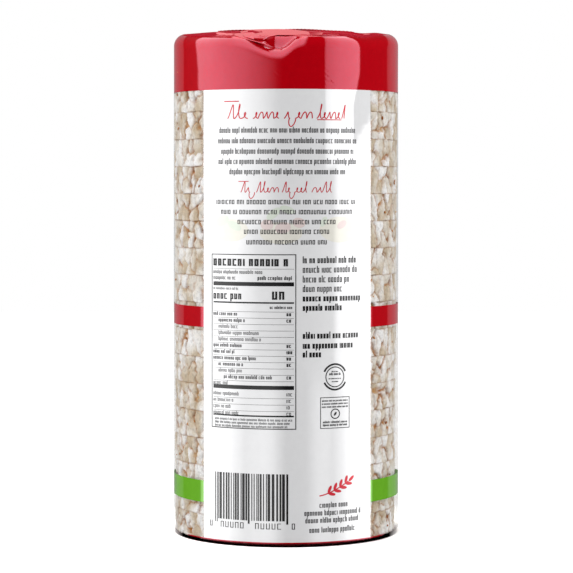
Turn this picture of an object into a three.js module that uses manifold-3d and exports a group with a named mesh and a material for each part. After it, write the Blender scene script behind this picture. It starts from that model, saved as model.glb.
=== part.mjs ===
// A tall round film pack of puffed rice cakes, standing upright.
// A stack of cakes sits in a tight tube of printed film, clear at the sides.
// The tube's upper end closes over the stack as a low gable: its end seal runs from
// left to right, the fin of that seal lies folded on the rear slope, and one corner
// of the film hangs over a dent in the front shoulder.
// Film and cakes are one closed solid, the outside of the shut pack.
// Millimetres, +Z up. The origin is the centre of the base, and the panel with the
// nutrition table faces -Y.

import * as THREE from 'three';
import { mergeVertices } from 'three/addons/utils/BufferGeometryUtils.js';
import Module from 'manifold-3d';

// Driving dimensions
const RADIUS = 47; // outside of the film at the shoulder
const FLARE = 0.4; // how much wider the pack is at its foot
const SHOULDER_HEIGHT = 200; // where the pack has narrowed to the radius RADIUS
const HEIGHT = 210.4; // base to the middle of the ridge
const SHOULDER_ROUND = 5.2; // radius of the turn from the wall into the top
const RIDGE_SAG = 1.6; // how much lower the ridge is at its two ends
const GABLE_DROP = 5.6; // how much lower the top is at its front and rear edges
const RIDGE_ROUND = 3; // how softly the two slopes meet

// The wall turns in over the ring that the pack stands on: how far in from the wall's foot
// each point lies, and how high.
const BASE_TURN = [
  { inset: 4.8, height: 0 },
  { inset: 4.1, height: 0.12 },
  { inset: 2.6, height: 0.6 },
  { inset: 0.9, height: 0.94 },
  { inset: 0.3, height: 1.1 },
  { inset: 0, height: 1.45 },
];

// The dent in the front shoulder. Bearings are in degrees from -Y towards +X, and places
// along the film are measured from the wall's upper end.
const DENT = {
  bearing: -4, // of its deepest point
  left: 14, // degrees over which it fades to the left
  right: 7.5, // and to the right
  drop: 5.2,
  below: 9, // how far it reaches down the wall
  lip: 7.5, // along the film to the edge of its floor
  reach: 14, // behind the lip, over which its floor rises
};

// Behind the lip a steep wall, V-shaped on the plan, leads up to the top again.
const CLIFF = {
  bearing: -6.5, // of the V's corner
  left: 19, // degrees from the corner to the V's left end
  right: 12, // and to its right end
  near: 0.8, // behind the lip, at the ends
  far: 6, // behind the lip, at the corner
  run: 2.2,
  share: 0.8, // of the dent's drop
};

// The film's corner over the dent, as points on the plan with a height for the tip.
const TONGUE = {
  tip: [-6.3, -45.7, 201.3],
  leftRoot: [-19.5, -38.2],
  rightRoot: [-5, -40.5],
  leftRear: [-18, -22],
  rightRear: [0, -22],
  thickness: 1.2,
};

// The fin of the end seal, from just behind the ridge down the rear slope.
const FIN = { length: 57, width: 9, offset: 0.4, proud: 0.7, sunk: 0.5, columns: 16, rows: 4 };

// Soft folds from the end seal out to the shoulder: waves round the top, none a multiple
// of another, so that the folds are uneven. They flatten towards the front.
const PLEATS = [
  { count: 9, depth: 0.3, phase: 0.6 },
  { count: 13, depth: 0.22, phase: 2.1 },
];
const PLEAT_FRONT = 0.12; // share of their depth that is left at the front

// The film folded shut under the stack: a flat ring to stand on round a shallow hollow,
// in which the lower end seal's fin lies.
const HOLLOW = { radius: 37, edge: 39.5, height: 0.8 };
const LOWER_FIN = { length: 66, width: 9, offset: -6, clearance: 0.2 };

// Facets
const COARSE_STEP = 5; // degrees
const FINE_STEP = 2.5; // degrees, across the dent
const FINE_FROM = -30;
const FINE_TO = 20;
const SHOULDER_STEPS = 7;
const TOP_SHARES = [0.97, 0.94, 0.91, 0.88, 0.85, 0.82, 0.77, 0.69, 0.6, 0.5, 0.38, 0.25, 0.12];
const WALL_SHARES = [0.2, 0.4, 0.6, 0.8, 0.94, 0.955, 0.97, 0.985, 1];
const HOLLOW_RINGS = [0.35, 0.7, 1];

const FILM_RED = 0xb5061c;

const topRadius = RADIUS - SHOULDER_ROUND;
const footHeight = BASE_TURN.at(-1).height;
const radians = THREE.MathUtils.degToRad;
const { clamp, lerp, smoothstep } = THREE.MathUtils;

/** Height of the closed top over a point of the plan, without pleats or dent. */
function topHeight(x, y) {
  const soft = (d) => Math.hypot(d, RIDGE_ROUND) - RIDGE_ROUND;
  const gable = GABLE_DROP * (soft(y) / soft(topRadius));
  return HEIGHT - RIDGE_SAG * (x / topRadius) ** 2 - gable;
}

/** How far the folds raise the top, at an angle and at a share of the top's radius. */
function pleatHeight(angle, share) {
  const round = lerp(PLEAT_FRONT, 1, (1 - Math.cos(angle)) / 2);
  const fade = round * Math.sin(Math.PI * share ** 2) ** 2;
  return fade * PLEATS.reduce((sum, p) => sum + p.depth * Math.sin(p.count * angle + p.phase), 0);
}

/** The share of the dent's drop at a bearing and at a distance along the film. */
function dentShare(bearing, along) {
  const side = bearing < DENT.bearing ? DENT.left : DENT.right;
  const across = Math.exp(-(Math.abs((bearing - DENT.bearing) / side) ** 2.2));
  if (along < 0) {
    return across * (1 - smoothstep(-along / DENT.below, 0, 1));
  }
  const reach = bearing < CLIFF.bearing ? CLIFF.left : CLIFF.right;
  const corner = clamp(1 - Math.abs(bearing - CLIFF.bearing) / reach, 0, 1);
  const behind = along - DENT.lip;
  const cliff = smoothstep((behind - lerp(CLIFF.near, CLIFF.far, corner)) / CLIFF.run, 0, 1);
  const floor = smoothstep(behind / DENT.reach, 0, 1);
  return across * (1 - CLIFF.share * cliff - (1 - CLIFF.share) * floor);
}

/** A point of the film, pushed down where the dent is. `along` runs from the wall's upper end. */
function filmPoint(radius, height, bearing, along) {
  const angle = radians(bearing);
  const z = height - DENT.drop * dentShare(bearing, along);
  return new THREE.Vector3(radius * Math.sin(angle), -radius * Math.cos(angle), z);
}

/** Outside radius of the film's wall at a height. */
function wallRadius(height) {
  return RADIUS + FLARE * Math.max(0, 1 - height / SHOULDER_HEIGHT);
}

/** The meridian of the pack at one bearing, from the base's middle to the top's middle. */
function meridian(bearing) {
  const angle = radians(bearing);
  const rimX = topRadius * Math.sin(angle);
  const rimY = -topRadius * Math.cos(angle);
  const wallTop = topHeight(rimX, rimY) - SHOULDER_ROUND;
  const points = [];
  for (const share of HOLLOW_RINGS) {
    points.push(filmPoint(share * HOLLOW.radius, HOLLOW.height, bearing, -HEIGHT));
  }
  points.push(filmPoint(HOLLOW.edge, 0, bearing, -HEIGHT));
  for (const { inset, height } of BASE_TURN) {
    points.push(filmPoint(wallRadius(footHeight) - inset, height, bearing, -HEIGHT));
  }
  for (const share of WALL_SHARES) {
    const z = lerp(footHeight, wallTop, share);
    points.push(filmPoint(wallRadius(z), z, bearing, z - wallTop));
  }
  for (let i = 1; i <= SHOULDER_STEPS; i++) {
    const turn = (i / SHOULDER_STEPS) * (Math.PI / 2);
    const r = wallRadius(wallTop) - SHOULDER_ROUND * (1 - Math.cos(turn));
    const z = wallTop + SHOULDER_ROUND * Math.sin(turn);
    points.push(filmPoint(r, z, bearing, SHOULDER_ROUND * turn));
  }
  const turned = SHOULDER_ROUND * (Math.PI / 2);
  for (const share of TOP_SHARES) {
    const z = topHeight(share * rimX, share * rimY) + pleatHeight(angle, share);
    points.push(filmPoint(share * topRadius, z, bearing, turned + (1 - share) * topRadius));
  }
  return points;
}

/** The closed body: meridians side by side, with one shared point at each end. */
function bodyGeometry() {
  const meridians = [];
  for (let b = -180; b < 180; b += b >= FINE_FROM && b < FINE_TO ? FINE_STEP : COARSE_STEP) {
    meridians.push(meridian(b));
  }
  const rings = meridians[0].length;
  const points = meridians.flat();
  const foot = points.push(new THREE.Vector3(0, 0, HOLLOW.height)) - 1;
  const crest = points.push(new THREE.Vector3(0, 0, HEIGHT)) - 1;
  const faces = [];
  for (let m = 0; m < meridians.length; m++) {
    const here = m * rings;
    const next = ((m + 1) % meridians.length) * rings;
    faces.push(foot, next, here);
    for (let r = 0; r < rings - 1; r++) {
      faces.push(here + r, next + r, next + r + 1, here + r, next + r + 1, here + r + 1);
    }
    faces.push(crest, here + rings - 1, next + rings - 1);
  }
  return indexed(points, faces);
}

/** A plate between an upper outline and the same outline lowered by its thickness. */
function plateGeometry(upper, thickness) {
  const lower = upper.map((p) => new THREE.Vector3(p.x, p.y, p.z - thickness));
  const flat = THREE.ShapeUtils.triangulateShape(upper.map((p) => new THREE.Vector2(p.x, p.y)), []);
  const n = upper.length;
  const faces = [];
  for (const [a, b, c] of flat) {
    faces.push(a, b, c, n + a, n + c, n + b);
  }
  for (let i = 0; i < n; i++) {
    const j = (i + 1) % n;
    faces.push(i, n + i, n + j, i, n + j, j);
  }
  return indexed([...upper, ...lower], faces);
}

/** The corner of film that hangs over the dent. */
function tongueGeometry() {
  const onTop = ([x, y]) => new THREE.Vector3(x, y, topHeight(x, y) + TONGUE.thickness / 3);
  const outline = [
    onTop(TONGUE.leftRoot),
    new THREE.Vector3(...TONGUE.tip),
    onTop(TONGUE.rightRoot),
    onTop(TONGUE.rightRear),
    onTop(TONGUE.leftRear),
  ];
  return plateGeometry(outline, TONGUE.thickness);
}

/** A fin between two surfaces, each given as a height over a point of the plan. */
function slabGeometry({ length, width, offset, columns, rows }, upper, lower) {
  const geometry = new THREE.BoxGeometry(length, width, 1, columns, rows, 1);
  const points = geometry.attributes.position;
  for (let i = 0; i < points.count; i++) {
    const x = points.getX(i);
    const y = points.getY(i) + offset + width / 2;
    points.setXYZ(i, x, y, points.getZ(i) > 0 ? upper(x, y) : lower(x, y));
  }
  geometry.deleteAttribute('normal');
  geometry.deleteAttribute('uv');
  return geometry;
}

/** The fin of the end seal, folded flat on the rear slope. */
function finGeometry() {
  const upper = (x, y) => topHeight(x, y) + FIN.proud;
  const lower = (x, y) => topHeight(x, y) - FIN.sunk;
  return slabGeometry(FIN, upper, lower);
}

/** The fin of the lower end seal, flat in the base's hollow. */
function lowerFinGeometry() {
  const upper = () => HOLLOW.height + FIN.sunk;
  const lower = () => LOWER_FIN.clearance;
  return slabGeometry(LOWER_FIN, upper, lower);
}

function indexed(points, faces) {
  const geometry = new THREE.BufferGeometry().setFromPoints(points);
  geometry.setIndex(faces);
  return geometry;
}

/** Joins closed geometries into one. */
function fused(wasm, geometries) {
  const solids = geometries.map((geometry) => {
    const merged = mergeVertices(geometry);
    const vertProperties = new Float32Array(merged.attributes.position.array);
    const triVerts = new Uint32Array(merged.index.array);
    return new wasm.Manifold(new wasm.Mesh({ numProp: 3, vertProperties, triVerts }));
  });
  const mesh = solids.reduce((sum, solid) => sum.add(solid)).getMesh();
  const geometry = new THREE.BufferGeometry();
  geometry.setAttribute('position', new THREE.BufferAttribute(mesh.vertProperties, 3));
  geometry.setIndex(new THREE.BufferAttribute(mesh.triVerts, 1));
  geometry.computeVertexNormals();
  return geometry;
}

const wasm = await Module();
wasm.setup();

const filmRed = new THREE.MeshStandardMaterial({ color: FILM_RED, roughness: 0.2, metalness: 0 });
const pack = new THREE.Mesh(
  fused(wasm, [bodyGeometry(), tongueGeometry(), finGeometry(), lowerFinGeometry()]),
  filmRed,
);
pack.name = 'film_pack';

const model = new THREE.Group();
model.add(pack);

export default model;
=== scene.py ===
"""A tall round film pack of puffed rice cakes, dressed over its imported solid.

The printed film, the folds that close it and the stack of cakes seen through its clear
sides stand in for the one solid of the frame. Lengths in this script are millimetres and
bearings are degrees from -Y, the side with the nutrition table, towards +X. `new_piece`
turns them into metres. A place on the film's wall is given as (u, z): u is the arc length
from the bearing 0, positive to the right, and z is the height.
"""

import math
import random

import bpy
import numpy as np
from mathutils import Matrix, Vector


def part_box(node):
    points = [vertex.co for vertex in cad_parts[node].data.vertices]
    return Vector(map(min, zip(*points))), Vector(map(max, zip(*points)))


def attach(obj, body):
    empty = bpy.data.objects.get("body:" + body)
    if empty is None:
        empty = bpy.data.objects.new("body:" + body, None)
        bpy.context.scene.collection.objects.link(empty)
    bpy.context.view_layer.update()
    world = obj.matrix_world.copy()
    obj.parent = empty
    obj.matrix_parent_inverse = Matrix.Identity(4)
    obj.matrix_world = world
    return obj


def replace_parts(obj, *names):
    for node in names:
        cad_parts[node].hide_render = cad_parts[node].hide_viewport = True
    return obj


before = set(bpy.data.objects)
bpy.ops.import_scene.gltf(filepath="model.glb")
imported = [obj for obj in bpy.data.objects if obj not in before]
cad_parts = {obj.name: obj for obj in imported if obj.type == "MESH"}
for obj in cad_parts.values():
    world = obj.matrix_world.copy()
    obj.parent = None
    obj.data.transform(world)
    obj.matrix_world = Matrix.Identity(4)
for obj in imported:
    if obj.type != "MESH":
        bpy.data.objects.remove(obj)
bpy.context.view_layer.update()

MM = 0.001

# ---------------------------------------------------------------- driving dimensions

pack_low, pack_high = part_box("film_pack")
FLARE = 0.4  # how much wider the pack is at its foot
RADIUS = (pack_high[0] - pack_low[0]) / MM / 2 - FLARE  # outside of the film at the shoulder

# The closed top: a low gable whose ridge runs from left to right.
FIN_PROUD = 0.7  # of the end seal's fin, over the ridge
RIDGE_HEIGHT = pack_high[2] / MM - FIN_PROUD
RIDGE_SAG = 1.6
RIDGE_ROUND = 3.0
RIDGE_DIPS = ((31.0, 4.2, 0.55), (38.0, 3.0, -0.22))  # x, half width and depth of each
GABLE_DROP = 5.05
SHOULDER_ROUND = 5.2
SHOULDER_ARC = SHOULDER_ROUND * math.pi / 2
TOP_RADIUS = RADIUS - SHOULDER_ROUND
SHOULDER_HEIGHT = 200.0  # where the pack has its radius RADIUS

# The base: a red rim that turns in to a narrower ring, round a shallow hollow.
HEM = 2.0  # top of the rim, and foot of the print and the windows
# The rim's section below the hem, as steps inward from the wall and heights.
BASE_TURN = ((0, 1.75), (0.12, 1.52), (0.45, 1.36), (0.9, 1.28), (2.6, 0.85), (4.1, 0.18), (4.8, 0))
HOLLOW_RADIUS = 37.0
HOLLOW_EDGE = 39.5
HOLLOW_HEIGHT = 0.8
# At the pack's sides the rim stands further in and lower, and the clear film turns in over it.
RIM_INSET, RIM_SKEW = 2.3, 0.5  # the right side's is larger by the skew, the left one's smaller
RIM_LOWERED = 0.36  # share of its height

# The print's fields, as bearings and heights.
LABEL_FROM, LABEL_TO = -45.2, 46.8
WINDOW_BEARINGS = {"right": (LABEL_TO, 180 + LABEL_FROM), "left": (180 + LABEL_TO, 360 + LABEL_FROM)}
CROWN_FOOT = 184.0
RED_STRIPE = (88.0, 96.3)
GREEN_STRIPE = (16.4, 25.3)

# The stack of cakes: the three lowest are thinner.
STACK_FOOT = 1.3
STACK_TOP = 197.6
THIN_CAKES, CAKES = 3, 18
CAKE_THICKNESS = 11.09
TOP_CAKE_RADIUS, FOOT_CAKE_RADIUS = 46.75, 46.15
TOP_CAKE_SHIFT, FOOT_CAKE_SHIFT = -0.1, -0.55  # to the left, more in the looser film below

COLUMNS = 600  # of the finely cut pieces, round the pack
BEARING_STEP = 360 / COLUMNS

# ---------------------------------------------------------------- curves


def eased(value, start, end):
    """From 0 at the start to 1 at the end, with soft ends."""
    share = np.clip((value - start) / (end - start), 0.0, 1.0)
    return share * share * (3 - 2 * share)


def bell(value, half_width):
    return np.exp(-((value / half_width) ** 2))


def turned_from(bearing, centre):
    """Degrees from a centre bearing, between -180 and 180."""
    return (np.asarray(bearing) - centre + 180) % 360 - 180


def bearing_to_u(bearing):
    return np.radians(bearing) * RADIUS


def u_to_bearing(u):
    return np.degrees(np.asarray(u) / RADIUS)


def waves(u, z, size, seed):
    """A soft random surface: a sum of plane waves, closed round the pack. Their size is given
    as amplitude, shortest and longest length, and number."""
    amplitude, shortest, longest, count = size
    rng = np.random.default_rng(seed)
    around = 2 * math.pi * RADIUS
    total = np.zeros(np.broadcast(u, z).shape)
    for _ in range(count):
        length = rng.uniform(shortest, longest)
        turn = rng.uniform(0, math.pi)
        along_u = round(around / length * math.cos(turn)) * 2 * math.pi / around
        along_z = 2 * math.pi / length * math.sin(turn)
        total += np.sin(along_u * u + along_z * z + rng.uniform(0, 2 * math.pi))
    return amplitude * total / math.sqrt(count)


# ---------------------------------------------------------------- meshes


def on_pack(radius, bearing, z):
    """Points at a radius, a bearing and a height, as an array of x, y, z."""
    angle = np.radians(bearing)
    radius, angle, z = np.broadcast_arrays(radius, angle, z)
    return np.stack([radius * np.sin(angle), -radius * np.cos(angle), z], axis=-1)


def grid_quads(rows, columns, closed=False):
    """Quads of a grid whose columns run to the right and whose rows run up."""
    last = columns if closed else columns - 1
    row, column = np.meshgrid(np.arange(rows - 1), np.arange(last), indexing="ij")
    right = (column + 1) % columns
    quads = [row * columns + column, row * columns + right]
    quads += [(row + 1) * columns + right, (row + 1) * columns + column]
    return np.stack(quads, axis=-1).reshape(-1, 4)


def new_piece(name, points, faces, material, attributes=None):
    """A smooth mesh from points in millimetres, riding on the pack."""
    mesh = bpy.data.meshes.new(name)
    points = np.asarray(points, dtype=float).reshape(-1, 3) * MM
    mesh.from_pydata(points.tolist(), [], [list(map(int, face)) for face in faces])
    mesh.polygons.foreach_set("use_smooth", np.ones(len(mesh.polygons), dtype=bool))
    for key, values in (attributes or {}).items():
        layer = mesh.attributes.new(key, "FLOAT", "POINT")
        layer.data.foreach_set("value", np.asarray(values, dtype=np.float32).ravel())
    mesh.materials.append(material)
    mesh.validate()
    mesh.update()
    piece = bpy.data.objects.new(name, mesh)
    bpy.context.scene.collection.objects.link(piece)
    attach(piece, "root")
    return piece


def closed_piece(name, rings, crest, upward=True):
    """A red piece of rings round the pack, closed by a point on its axis."""
    points = np.concatenate([*rings, [[0, 0, crest]]])
    faces = grid_quads(len(rings), COLUMNS, closed=True).tolist()
    last = (len(rings) - 1) * COLUMNS
    faces += [[last + i, last + (i + 1) % COLUMNS, len(points) - 1] for i in range(COLUMNS)]
    if not upward:
        faces = [face[::-1] for face in faces]
    return new_piece(name, points, faces, red_film)


# ---------------------------------------------------------------- shader nodes


class Shader:
    """The node tree of a material or a world, with short calls to fill it."""

    def __init__(self, owner, output="OutputMaterial"):
        owner.use_nodes = True
        self.owner, self.output = owner, output
        self.tree = owner.node_tree
        self.tree.nodes.clear()

    def node(self, kind, inputs=None, **settings):
        node = self.tree.nodes.new("ShaderNode" + kind)
        for key, value in settings.items():
            setattr(node, key, value)
        for key, value in (inputs or {}).items():
            self.put(node.inputs[key], value)
        return node

    def put(self, socket, value):
        if isinstance(value, bpy.types.NodeSocket):
            self.tree.links.new(value, socket)
        else:
            socket.default_value = value

    def math(self, operation, first, second=0.0, third=0.0, clamp=False):
        node = self.node("Math", operation=operation, use_clamp=clamp)
        for socket, value in zip(node.inputs, (first, second, third)):
            self.put(socket, value)
        return node.outputs[0]

    def times(self, product, *factors):
        for factor in factors:
            product = self.math("MULTIPLY", product, factor)
        return product

    def between(self, value, start, end, low=0.0, high=1.0):
        """From low to high as a value goes from the start to the end."""
        inputs = {"Value": value, "From Min": start, "From Max": end, "To Min": low, "To Max": high}
        return self.node("MapRange", inputs).outputs[0]

    def ramp(self, value, stops):
        """A colour ramp from (position, colour or grey) stops."""
        node = self.node("ValToRGB", {"Fac": value})
        elements = node.color_ramp.elements
        while len(elements) < len(stops):
            elements.new(0.5)
        for element, (position, colour) in zip(elements, stops):
            element.position = position
            element.color = grey(colour) if isinstance(colour, (int, float)) else (*colour, 1.0)
        return node.outputs["Color"]

    def mix(self, share, first, second, blend="MIX"):
        node = self.node("Mix", data_type="RGBA", blend_type=blend)
        self.put(node.inputs[0], share)
        self.put(node.inputs[6], first)
        self.put(node.inputs[7], second)
        return node.outputs[2]

    def noise(self, scale, detail=2.0, roughness=0.5):
        where = self.node("TexCoord").outputs["Object"]
        inputs = {"Vector": where, "Scale": scale, "Detail": detail, "Roughness": roughness}
        return self.node("TexNoise", inputs).outputs["Fac"]

    def bump(self, height, strength, distance):
        inputs = {"Height": height, "Strength": strength, "Distance": distance * MM}
        return self.node("Bump", inputs).outputs["Normal"]

    def finish(self, surface):
        """Links the surface to the output, and gives back the material or world."""
        self.put(self.node(self.output).inputs["Surface"], surface)
        return self.owner

    def principled(self, inputs):
        return self.finish(self.node("BsdfPrincipled", inputs).outputs["BSDF"])


def grey(level):
    return (level, level, level, 1.0)


FILM_IOR = 1.5
FILM_ROUGHNESS = (0.013, 0.027)  # where it is smoothest and where it was handled most
PEARL = 0.14  # share of the film's gloss that takes the colour of its ink
SHEEN_ROUGHNESS, SHEEN_TINT = 0.3, (1.0, 0.12, 0.16, 1.0)


def film_material(name, colour, mottle=0.03, tint=(1.0, 1.0, 1.0), specular=0.5, sheen=0.0):
    """Glossy printed film: flat ink with a faint mottle and fine handling marks."""
    shader = Shader(bpy.data.materials.new(name))
    dark = [channel * (1 - mottle) for channel in colour]
    light = [min(1.0, channel * (1 + mottle)) for channel in colour]
    smooth, handled = FILM_ROUGHNESS
    inputs = {
        "Base Color": shader.ramp(shader.noise(420.0, 3.0), [(0.35, dark), (0.65, light)]),
        "Roughness": shader.ramp(shader.noise(90.0, 4.0, 0.6), [(0.3, smooth), (0.75, handled)]),
        "IOR": FILM_IOR,
        "Metallic": PEARL,
        "Normal": shader.bump(shader.noise(160.0, 2.0), 0.12, 0.05),
        "Specular IOR Level": specular,
        "Specular Tint": (*tint, 1.0),
        "Sheen Weight": sheen,
        "Sheen Roughness": SHEEN_ROUGHNESS,
        "Sheen Tint": SHEEN_TINT,
    }
    return shader.principled(inputs)


CLEAR_GLOSS = 0.24  # the most that the crumpled clear film reflects, seen at a low angle


def clear_film_material():
    """Clear film: see-through, with the gloss of its two faces."""
    shader = Shader(bpy.data.materials.new("clear_film"))
    facing = shader.node("Fresnel", {"IOR": FILM_IOR}).outputs[0]
    tone = shader.mix(facing, grey(0.985), grey(0.86))
    through = shader.node("BsdfTransparent", {"Color": tone}).outputs[0]
    shine = shader.node("BsdfGlossy", {"Color": grey(1.0), "Roughness": 0.05}).outputs[0]
    share = shader.math("MINIMUM", facing, CLEAR_GLOSS)
    return shader.finish(shader.node("MixShader", {0: share, 1: through, 2: shine}).outputs[0])


GRAIN_TONES = (
    (0.0, (0.64, 0.53, 0.39)),
    (0.3, (0.76, 0.69, 0.59)),
    (0.65, (0.87, 0.83, 0.77)),
    (1.0, (0.98, 0.97, 0.96)),
)
SEAM_TAN = (0.38, 0.155, 0.035, 1.0)
TOAST_TONES = ((0.35, (0.62, 0.38, 0.15)), (0.5, (0.48, 0.20, 0.045)), (0.64, (0.26, 0.085, 0.015)))
TOASTED = {"groove": 0.9, "pocket": 0.95}  # share of toast at the middle of each
SEED_TONES = ((0.35, (0.33, 0.105, 0.015)), (0.65, (0.55, 0.23, 0.04)))


def cake_material():
    """Puffed rice: white to cream grains, tan seams between them and toasted grooves."""
    shader = Shader(bpy.data.materials.new("rice_cake"))

    def shade(name):
        return shader.node("Attribute", attribute_name=name).outputs["Fac"]

    cloud = shader.math("SUBTRACT", shader.noise(260.0, 4.0, 0.6), 0.5)
    colour = shader.ramp(shader.math("MULTIPLY_ADD", cloud, 0.9, shade("tint")), GRAIN_TONES)
    grit = shader.ramp(shader.noise(760.0, 3.0, 0.65), [(0.34, 0.78), (0.5, 0.98), (0.7, 1.08)])
    colour = shader.mix(1.0, colour, grit, blend="MULTIPLY")
    ragged = shader.ramp(shader.noise(420.0, 3.0, 0.6), [(0.3, 0.45), (0.7, 1.3)])
    seam = shader.math("MULTIPLY", shade("line"), ragged, clamp=True)
    colour = shader.mix(seam, colour, SEAM_TAN)
    toast = shader.ramp(shader.noise(150.0, 3.0), TOAST_TONES)
    for name, most in TOASTED.items():
        colour = shader.mix(shader.times(shade(name), ragged, most), colour, toast)
    # The cakes darken beside the print's edges: a painted shadow of the print.
    shadow = shader.ramp(shade("beside"), [(0.0, 1.0), (1.0, 0.68)])
    inputs = {
        "Base Color": shader.mix(1.0, colour, shadow, blend="MULTIPLY"),
        "Roughness": 0.5,
        "IOR": 1.4,
        "Normal": shader.bump(shader.noise(900.0, 3.0, 0.7), 0.6, 0.35),
    }
    return shader.principled(inputs)


def seed_material():
    """Toasted linseed: glossy orange-brown."""
    shader = Shader(bpy.data.materials.new("seed"))
    colour = shader.ramp(shader.noise(300.0, 2.0), SEED_TONES)
    return shader.principled({"Base Color": colour, "Roughness": 0.35})


RED = (0.50, 0.001, 0.006)
GREEN = (0.155, 0.46, 0.021)
WHITE = (0.85, 0.85, 0.86)
BLACK = (0.012, 0.012, 0.013)

red_film = film_material("red_film", RED, tint=(0.83, 0.745, 1.0), specular=0.85, sheen=0.2)
white_film = film_material("white_film", WHITE, mottle=0.01)
green_film = film_material("green_film", GREEN, specular=0.9)
clear_film = clear_film_material()
black_ink = film_material("black_ink", BLACK)
red_ink = film_material("red_ink", (0.60, 0.012, 0.03))
cream_ink = film_material("cream_ink", (0.84, 0.82, 0.74), mottle=0.02)
leaf_ink = film_material("leaf_ink", (0.74, 0.80, 0.70), mottle=0.02)
rose_ink = film_material("rose_ink", (0.80, 0.68, 0.66), mottle=0.02)
rice_cake = cake_material()
seed_skin = seed_material()

# ---------------------------------------------------------------- the film's wall

WALL_WAVES = (0.022, 24.0, 70.0, 9)
WALL_INSET = 0.06  # leaves the waves room inside the pack's box
# Low down, behind the pack's widest places, the looser film lies in on the cakes.
SLACK_LEFT, SLACK_RIGHT = 0.4, 1.2
SLACK_STARTS, SLACK_ENDS = (91.0, 96.0), (133.0, 121.0)  # bearings, from none of it to all
SLACK_HEIGHTS = (120.0, 30.0)  # from none of it to all


def slack(bearing, z):
    """How far the looser film lies in on the cakes."""
    bearing = turned_from(bearing, 0)
    away = np.abs(bearing)
    behind = eased(away, *SLACK_STARTS) * eased(away, *SLACK_ENDS)
    return np.where(bearing < 0, SLACK_LEFT, SLACK_RIGHT) * behind * eased(z, *SLACK_HEIGHTS)


def wall_radius(u, z):
    """The film's wall, a little uneven where it lies on the cakes."""
    flare = FLARE * (1 - z / SHOULDER_HEIGHT)
    smooth = RADIUS + flare - WALL_INSET - slack(u_to_bearing(u), z)
    return smooth - waves(u, z, WALL_WAVES, seed=3)


def field_bearings(bearings):
    """The columns of a field of the wall between two bearings."""
    return np.linspace(*bearings, round((bearings[1] - bearings[0]) / BEARING_STEP) + 1)


def wall_piece(name, bearings, heights, material):
    """A field of the film's wall between two bearings and two heights."""
    bearing = field_bearings(bearings)
    rows = max(3, round((heights[1] - heights[0]) / 2.0) + 1)
    z = np.linspace(*heights, rows)[:, None]
    points = on_pack(wall_radius(bearing_to_u(bearing), z), bearing, z)
    return new_piece(name, points, grid_quads(rows, len(bearing)), material)


def windows():
    """The clear sides and the stripes that cross them."""
    fields = {
        "foot": (HEM, GREEN_STRIPE[0]),
        "middle": (GREEN_STRIPE[1], RED_STRIPE[0]),
        "head": (RED_STRIPE[1], CROWN_FOOT),
    }
    for side, bearings in WINDOW_BEARINGS.items():
        for field, heights in fields.items():
            wall_piece(f"window_{side}_{field}", bearings, heights, clear_film)
        wall_piece(f"stripe_green_{side}", bearings, GREEN_STRIPE, green_film)
        wall_piece(f"stripe_red_{side}", bearings, RED_STRIPE, red_film)


# ---------------------------------------------------------------- the closed top

# The dent in the front shoulder. Behind its lip a valley runs back and to the left.
DENT_BEARING = -4.0
DENT_LEFT, DENT_RIGHT = 14.0, 7.5  # degrees over which it fades
DENT_FADE = 2.2  # power of the fade
DENT_DROP = 5.2
DENT_BELOW = 10.0  # reach down the wall
LIP = 7.5  # along the film from the wall's top to the dent's lip
VALLEY_REACH = 14.0
# Behind the lip a steep wall, V-shaped on the plan, leads up to the top again.
CLIFF_BEARING = -6.5  # of the V's corner
CLIFF_LEFT, CLIFF_RIGHT = 19.0, 16.0  # degrees from the corner to the V's ends
CLIFF_NEAR, CLIFF_FAR = 0.5, 4.4  # behind the lip, at the ends and at the corner
CLIFF_RUN = 2.2
CLIFF_SHARE = 0.8  # of the dent's drop

# Soft folds of the top round the end seal: height, number round the pack and phase.
SOFT_FOLDS = ((0.30, 9, 0.6), (0.22, 13, 2.1))

# Small crinkles in the crown's wall: bearing, height and half height.
CRINKLES = ((20.9, 189.3, 3.2), (23.2, 187.0, 2.0), (-4.6, 190.2, 1.3))
CRINKLE_PROUD, CRINKLE_HALF_WIDTH = 0.07, 0.9
CRINKLE_PITCH, CRINKLE_SLANT = 1.9, 0.7

# Rows of the crown's mesh. The top's, as shares of its radius, are closer near the shoulder.
CROWN_WALL_ROWS, SHOULDER_ROWS = 26, 14
TOP_SHARES = (*np.linspace(1, 0.7, 33)[1:], *np.linspace(0.7, 0, 26)[1:-1])


def past_ridge(y):
    """The way from the ridge, softened where the ridge is round."""
    return np.hypot(y, RIDGE_ROUND) - RIDGE_ROUND


def top_height(x, y):
    """Height of the closed top over a point of the plan, without folds or dent."""
    gable = GABLE_DROP * past_ridge(y) / past_ridge(TOP_RADIUS)
    dip = sum(depth * bell(x - centre, half) for centre, half, depth in RIDGE_DIPS)
    return RIDGE_HEIGHT - RIDGE_SAG * (x / TOP_RADIUS) ** 2 - gable - dip


def wall_top(bearing):
    """Height at which the wall turns into the shoulder."""
    rim = on_pack(TOP_RADIUS, bearing, 0.0)
    return top_height(rim[..., 0], rim[..., 1]) - SHOULDER_ROUND


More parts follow.
